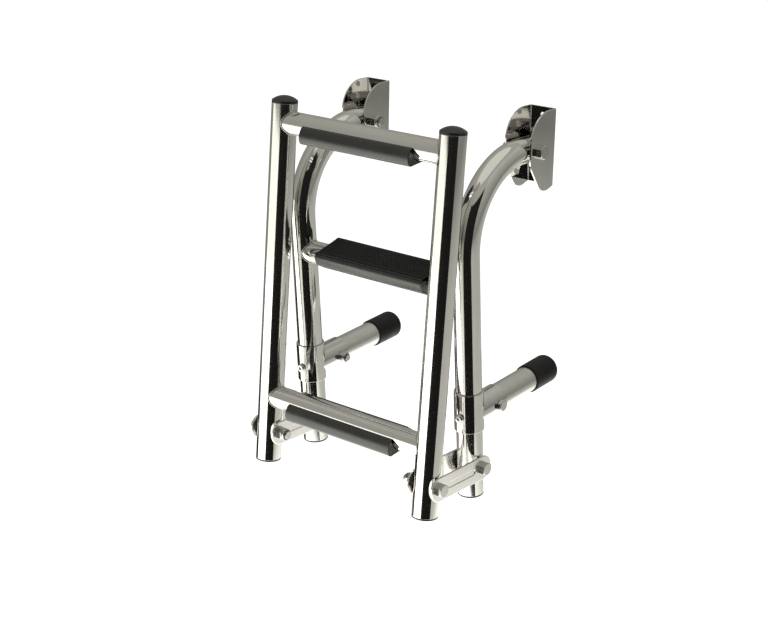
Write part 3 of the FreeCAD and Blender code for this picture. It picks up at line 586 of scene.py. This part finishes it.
lockNuts = (
    # bolt, nuts, body, bolt radius, collar radius
    ("hinge_bolt", "hinge_nut", "brackets", 0.004, 0.0057),
    ("link_bolt_rear", "link_nuts", "links", 0.004, 0.0057),
    ("link_bolt_front", "link_nuts", "links", 0.004, 0.0057),
    ("standoff_bolt", "standoff_nut", "clamp", 0.003, 0.0047),
)


def makeNutDetails():
    for boltName, nutName, body, radius, collar in lockNuts:
        for sideName, outward in (("left", 1), ("right", -1)):
            low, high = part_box(boltName + "_" + sideName)
            nutLow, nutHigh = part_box(nutName + "_" + sideName)
            middle = (low + high) / 2
            face = nutHigh.x if outward > 0 else nutLow.x
            end = high.x if outward > 0 else low.x
            centre = Vector((face, middle.y, middle.z))
            carrier = body + "_" + sideName if body == "clamp" else body
            makeLockRing(boltName + "_insert_" + sideName, centre, outward, radius, collar, carrier)
            makeThread(boltName + "_thread_" + sideName, centre, outward, radius, abs(end - face), carrier)


makeNutDetails()
print("nut inserts and threads made")


socketScrew = {
    "axisPoint": (0.0, -0.100198, -0.239681), "lean": 4.8, "spacing": 0.200,
    "tip": 0.0128, "seat": 0.01415, "shank": 0.0025, "head": 0.0045, "headHeight": 0.0030, "headRound": 0.0018,
    "keyFlats": 0.0030, "keyDepth": 0.0016, "steps": 60, "headSteps": 7, "tipRadius": 0.0012,
    "keyLip": 1.12, "keyLipDepth": 0.0002,           # the socket's mouth, wider than the socket
    "keyPoint": 0.0004, "keyPointRadius": 0.0005,    # the drilled point at its end
}


def makeSocketScrew(sideName, x, values=socketScrew):
    # round head with a hexagon socket for a key, on the front of the clamp
    lean = math.radians(values["lean"])
    outward = Vector((0, -math.cos(lean), -math.sin(lean)))
    upward = Vector((0, -math.sin(lean), math.cos(lean)))
    start = Vector(values["axisPoint"]) + Vector((x, 0, 0))
    top = values["seat"] + values["headHeight"]
    fillet = values["headRound"]
    profile = [(values["tip"], values["tipRadius"]), (values["tip"], values["shank"]),
               (values["seat"], values["shank"]), (values["seat"], values["head"]), (top - fillet, values["head"])]
    for step in range(1, values["headSteps"] + 1):
        swing = math.pi / 2 * step / values["headSteps"]
        profile.append((top - fillet + fillet * math.sin(swing), values["head"] - fillet + fillet * math.cos(swing)))
    rings = []
    steps = values["steps"]

    def ringOf(depth, radiusAt):
        spokes = []
        for step in range(steps):
            turn = math.tau * step / steps
            reach = radiusAt(turn)
            across = Vector((math.cos(turn) * reach, 0, 0))
            spokes.append(start + outward * depth + across + upward * math.sin(turn) * reach)
        return spokes

    def keyRadius(turn, growth=1.0):
        inSide = (turn + math.pi / 6) % (math.pi / 3) - math.pi / 6
        return growth * values["keyFlats"] / 2 / math.cos(inSide)

    for depth, radius in profile:
        rings.append(ringOf(depth, lambda turn, radius=radius: radius))
    rings.append(ringOf(top, lambda turn: keyRadius(turn, values["keyLip"])))
    rings.append(ringOf(top - values["keyLipDepth"], keyRadius))
    rings.append(ringOf(top - values["keyDepth"], keyRadius))
    rings.append(ringOf(top - values["keyDepth"] - values["keyPoint"], lambda turn: values["keyPointRadius"]))
    shape = bmesh.new()
    rows = sweepRings(shape, rings, closed=False)
    shape.faces.new(rows[0])
    shape.faces.new(rows[-1])
    screw = finishMesh("socket_screw_" + sideName, shape, "bolt", "clamp_" + sideName, crease=32)
    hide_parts("clamp_screw_" + sideName)


makeSocketScrew("left", 0.0)
makeSocketScrew("right", socketScrew["spacing"])
print("clamp screws made")


# treads, sized from the rung centre: -Y is the nose, +Z the walking side
treadMoulding = {
    "ends": (0.0343, 0.165), "walkingSide": 0.0133, "bore": 0.0111, "noseLip": 0.0072, "heelLip": 0.0034,
    "corners": (   # across, up, round
        (-0.0112, -0.0072, 0.0003), (-0.0210, 0.0015, 0.0008), (-0.0230, 0.0133, 0.0050),
        (0.0180, 0.0133, 0.0050), (0.0180, 0.0015, 0.0127), (0.0134, -0.0026, 0.0003), (0.0114, -0.0034, 0.0003)),
    "grooves": (-0.0186, -0.0164, -0.0120, -0.0090, -0.0060, -0.0030, 0.0, 0.0030, 0.0060, 0.0090),
    "grooveWidth": 0.0012, "grooveDepth": 0.0005, "grooveDraft": 0.00012,
    "groovesAfter": 3,          # the grooves come between the third corner and the fourth
    "noseRim": (-0.0180, 0.00004),   # grooves past this reach start a little lower
    "clipHook": (0.0008, 0.0002), "heelHook": (-0.0008, 0.0001),   # the way the outline turns into the bore
    "wideRound": 0.002, "wideSteps": 16, "narrowSteps": 4, "boreSteps": 40,
    "endBevel": 0.0004, "stepsAlong": 26, "crease": 28,
    "gripReach": 1.2,           # groove depths below the walking side that still get the grip finish
    "gripFacing": -0.3,         # faces turned further away from it than this keep the smooth finish
}
treads = {
    "upper_tread": {"rung": "upper_rung", "body": "upper_frame", "tilt": 15.8},
    "lower_tread_near": {"rung": "lower_rung_near", "body": "lower_frame", "tilt": 186.8},
    "lower_tread_far": {"rung": "lower_rung_far", "body": "lower_frame", "tilt": 186.8},
}


def roundedCorner(before, corner, after, radius, steps):
    # points of the arc that rounds a corner
    arriving, leaving = (before - corner).normalized(), (after - corner).normalized()
    opening = arriving.angle(leaving)
    run = radius / math.tan(opening / 2)
    centre = corner + (arriving + leaving).normalized() * (radius / math.sin(opening / 2))
    first, last = corner + arriving * run - centre, corner + leaving * run - centre
    sweep = math.pi - opening
    arc = []
    for step in range(steps + 1):
        share = step / steps
        arc.append(centre + (first * math.sin((1 - share) * sweep) + last * math.sin(share * sweep)) / math.sin(sweep))
    return arc


def treadSection(values):
    # closed outline of the moulding, from the clip round the outside and back along the bore
    corners = [Vector((across, up)) for across, up, fillet in values["corners"]]
    fillets = [fillet for across, up, fillet in values["corners"]]
    closing = [corners[0] + Vector(values["clipHook"])] + corners + [corners[-1] + Vector(values["heelHook"])]
    path = []
    for index, (corner, fillet) in enumerate(zip(corners, fillets)):
        steps = values["wideSteps"] if fillet > values["wideRound"] else values["narrowSteps"]
        if index == values["groovesAfter"]:
            path.extend(groovePoints(values))
        path.extend(roundedCorner(closing[index], corner, closing[index + 2], fillet, steps))
    start = -math.asin(values["heelLip"] / values["bore"])
    end = math.pi + math.asin(values["noseLip"] / values["bore"])
    for step in range(values["boreSteps"] + 1):
        turn = start + (end - start) * step / values["boreSteps"]
        path.append(Vector((math.cos(turn), math.sin(turn))) * values["bore"])
    return path


def groovePoints(values):
    top, draft = values["walkingSide"], values["grooveDraft"]
    noseReach, drop = values["noseRim"]
    points = []
    for first in values["grooves"]:
        last = first + values["grooveWidth"]
        rim = top if first > noseReach else top - drop
        for across, up in ((first, rim), (first + draft, top - values["grooveDepth"]),
                           (last - draft, top - values["grooveDepth"]), (last, top)):
            points.append(Vector((across, up)))
    return points


def makeTread(node, place, values=treadMoulding):
    low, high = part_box(place["rung"])
    centre = (low + high) / 2
    tilt = math.radians(place["tilt"])
    section = treadSection(values)
    count = len(section)
    inward = []
    for index in range(count):
        along = section[(index + 1) % count] - section[index - 1]
        inward.append(Vector((along.y, -along.x)).normalized())
    start, end = values["ends"]
    bevel = values["endBevel"]
    stations = [(start, bevel), (start + bevel, 0.0)]
    for step in range(1, values["stepsAlong"]):
        stations.append((start + bevel + (end - start - 2 * bevel) * step / values["stepsAlong"], 0.0))
    stations += [(end - bevel, 0.0), (end, bevel)]
    rings = []
    for x, inset in stations:
        ring = []
        for point, inner in zip(section, inward):
            across, up = point + inner * inset
            ring.append(Vector((x, centre.y + across * math.cos(tilt) - up * math.sin(tilt),
                                centre.z + across * math.sin(tilt) + up * math.cos(tilt))))
        rings.append(ring)
    shape = bmesh.new()
    rows = sweepRings(shape, rings, closed=False)
    shape.faces.new(rows[0])
    shape.faces.new(rows[-1])
    moulding = finishMesh(node + "_moulding", shape, "tread", place["body"], crease=values["crease"])
    moulding.data.materials.append(finishes["grip"])
    walking = Vector((0, -math.sin(tilt), math.cos(tilt)))
    floorOfGrip = values["walkingSide"] - values["gripReach"] * values["grooveDepth"]
    for face in moulding.data.polygons:
        height = (face.center - centre).dot(walking)
        if height > floorOfGrip and face.normal.dot(walking) > values["gripFacing"]:
            face.material_index = 1
    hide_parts(node)


for treadNode, treadPlace in treads.items():
    makeTread(treadNode, treadPlace)
print("treads made")


def writeSizes():
    print("sizes not written")


# studio: floor, cards that only show in reflections, lamps

studio = {
    "floorLevel": -1.10, "floorSize": 40.0,
    "floorSeen": 0.72,       # glow towards the camera
    "floorMirrored": 1.15,   # glow in reflections
    "floorColour": (0.55, 0.55, 0.55),
    "worldLight": 0.70,
}


def seenDirectly(tree):
    # 1 for camera, glossy and transmission rays
    path = addNode(tree, "ShaderNodeLightPath")
    either = combine(tree, "MAXIMUM", path.outputs["Is Camera Ray"], path.outputs["Is Glossy Ray"])
    return combine(tree, "MAXIMUM", either, path.outputs["Is Transmission Ray"])


def startGlow(name):
    material = bpy.data.materials.new(name)
    material.use_nodes = True
    tree = material.node_tree
    tree.nodes.remove(tree.nodes["Principled BSDF"])
    return material, tree, addNode(tree, "ShaderNodeEmission")


def makeWorld(values):
    world = bpy.data.worlds.new("studioWorld")
    scene.world = world
    world.use_nodes = True
    tree = world.node_tree
    background = tree.nodes["Background"]
    background.inputs["Color"].default_value = (1, 1, 1, 1)
    strength = remap(tree, seenDirectly(tree), 0, 1, values["worldLight"], 1)
    wire(tree, (strength, background.inputs["Strength"]))


def makeFloor(values):
    material, tree, glow = startGlow("studioFloor")
    matt = addNode(tree, "ShaderNodeBsdfDiffuse")
    matt.inputs["Color"].default_value = (*values["floorColour"], 1)
    both = addNode(tree, "ShaderNodeAddShader")
    path = addNode(tree, "ShaderNodeLightPath")
    seen = combine(tree, "MULTIPLY", path.outputs["Is Camera Ray"], values["floorSeen"])
    bounced = combine(tree, "MAXIMUM", path.outputs["Is Glossy Ray"], path.outputs["Is Transmission Ray"])
    strength = combine(tree, "ADD", seen, combine(tree, "MULTIPLY", bounced, values["floorMirrored"]))
    wire(tree, (strength, glow.inputs["Strength"]), (glow.outputs[0], both.inputs[0]),
         (matt.outputs[0], both.inputs[1]), (both.outputs[0], tree.nodes["Material Output"].inputs["Surface"]))
    half = values["floorSize"] / 2
    shape = bmesh.new()
    corners = []
    for x, y in ((-1, -1), (1, -1), (1, 1), (-1, 1)):
        corners.append(shape.verts.new((x * half, y * half, values["floorLevel"])))
    shape.faces.new(corners)
    addMesh("studioFloor", shape, material)


cardTint = (1.0, 0.99, 0.90)
ladderMiddle = Vector((0.1, -0.09, 0))

# upright cards round the ladder: from one azimuth to another, and what they shed at a few heights
reflectors = {
    "blackFlag": {"azimuth": (6, 80), "distance": 1.30, "shed": ((-1.09, 0.010), (0.85, 0.014))},
    "flagEdge": {"azimuth": (-5, 6), "distance": 1.31, "shed": ((-0.10, 0.13), (0.95, 0.20))},
    "softBox": {"azimuth": (-68, 6), "distance": 1.33, "shed": ((-1.09, 2.6), (-0.36, 2.6))},
    "whiteCard": {"azimuth": (-70, 30), "distance": 2.30, "shed": ((-1.09, 1.4), (-0.17, 1.4))},
    "frontCard": {"azimuth": (-75, 90), "distance": 2.32, "shed": ((-0.17, 0.36), (1.95, 0.40))},
    "rightCard": {"azimuth": (80, 216), "distance": 1.30,
                  "shed": ((-1.09, 1.35), (-0.94, 1.20), (-0.84, 0.60), (-0.45, 0.48), (-0.32, 0.38), (-0.22, 0.22),
                           (-0.10, 0.28), (0.30, 0.38), (1.30, 0.55))},
    "leftCard": {"azimuth": (216, 292), "distance": 1.30,
                 "shed": ((-1.09, 0.50), (-0.98, 0.40), (-0.86, 0.03), (-0.66, 0.03), (-0.56, 0.22), (0.30, 0.32),
                          (1.30, 0.40))},
}

# level cards: part of a disc, and what it sheds
flatCards = {
    "roofCard": {"azimuth": (0, 360), "height": 1.30, "radii": (0.0, 1.6), "shed": 0.42},
    "topLight": {"azimuth": (0, 360), "height": 1.28, "radii": (0.0, 0.8), "shed": 0.75},
    "floorCard": {"azimuth": (-125, 6), "height": -1.08, "radii": (0.30, 1.29), "shed": 2.5},
}
cardSteps = {"upright": 3, "leastUpright": 4, "level": 6, "leastLevel": 12}   # degrees a step, fewest steps


def onCircle(degrees, radius):
    turn = math.radians(degrees)
    return ladderMiddle + Vector((math.sin(turn), -math.cos(turn), 0)) * radius


def onlyInReflections(card):
    card.visible_camera = False
    card.visible_diffuse = False
    card.visible_shadow = False
    card.visible_transmission = False


def makeGlowing(name, shed):
    # a plain glow that changes with height
    material, tree, glow = startGlow(name)
    glow.inputs["Color"].default_value = (*cardTint, 1)
    place = addNode(tree, "ShaderNodeTexCoord").outputs["Object"]
    apart = addNode(tree, "ShaderNodeSeparateXYZ")
    wire(tree, (place, apart.inputs[0]), (glow.outputs[0], tree.nodes["Material Output"].inputs["Surface"]))
    strength = None
    for (low, dim), (high, bright) in zip(shed, shed[1:]):
        stretch = remap(tree, apart.outputs["Z"], low, high, 0, bright - dim)
        strength = stretch if strength is None else combine(tree, "ADD", strength, stretch)
    wire(tree, (combine(tree, "ADD", strength, shed[0][1]), glow.inputs["Strength"]))
    return material


def makeReflector(name, values):
    start, end = values["azimuth"]
    bottom, top = values["shed"][0][0], values["shed"][-1][0]
    steps = max(cardSteps["leastUpright"], int((end - start) / cardSteps["upright"]))
    shape = bmesh.new()
    columns = []
    for step in range(steps + 1):
        out = onCircle(start + (end - start) * step / steps, values["distance"])
        columns.append([shape.verts.new((out.x, out.y, height)) for height in (bottom, top)])
    for first, second in zip(columns, columns[1:]):
        shape.faces.new((first[0], second[0], second[1], first[1]))
    onlyInReflections(addMesh(name, shape, makeGlowing(name, values["shed"])))


def makeFlatCard(name, values):
    start, end = values["azimuth"]
    steps = max(cardSteps["leastLevel"], int((end - start) / cardSteps["level"]))
    shape = bmesh.new()
    rims = []
    for radius in values["radii"]:
        rim = []
        for step in range(steps + 1):
            out = onCircle(start + (end - start) * step / steps, radius)
            rim.append(shape.verts.new((out.x, out.y, values["height"])))
        rims.append(rim)
    for step in range(steps):
        shape.faces.new((rims[0][step], rims[0][step + 1], rims[1][step + 1], rims[1][step]))
    onlyInReflections(addMesh(name, shape, makeGlowing(name, ((0, values["shed"]), (1, values["shed"])))))


lamps = {
    "keyLamp": {"place": (-1.1, -1.7, 1.9), "size": 1.6, "power": 34},
    "fillLamp": {"place": (1.9, -0.9, 1.4), "size": 1.8, "power": 16},
    "backLamp": {"place": (0.3, 1.9, 1.6), "size": 1.6, "power": 14},
}
lampAim = ladderMiddle + Vector((0, 0, -0.15))


def makeLamp(name, values):
    data = bpy.data.lights.new(name, "AREA")
    data.shape = "DISK"
    data.size = values["size"]
    data.energy = values["power"]
    lamp = bpy.data.objects.new(name, data)
    scene.collection.objects.link(lamp)
    lamp.location = values["place"]
    aim = lampAim - Vector(values["place"])
    lamp.rotation_mode = "QUATERNION"
    lamp.rotation_quaternion = aim.to_track_quat("-Z", "Y")
    lamp.visible_glossy = False
    lamp.visible_camera = False


makeWorld(studio)
makeFloor(studio)
for wallName, wallValues in reflectors.items():
    makeReflector(wallName, wallValues)
for cardName, cardValues in flatCards.items():
    makeFlatCard(cardName, cardValues)
for lampName, lampValues in lamps.items():
    makeLamp(lampName, lampValues)
print("studio lit")

writeSizes()
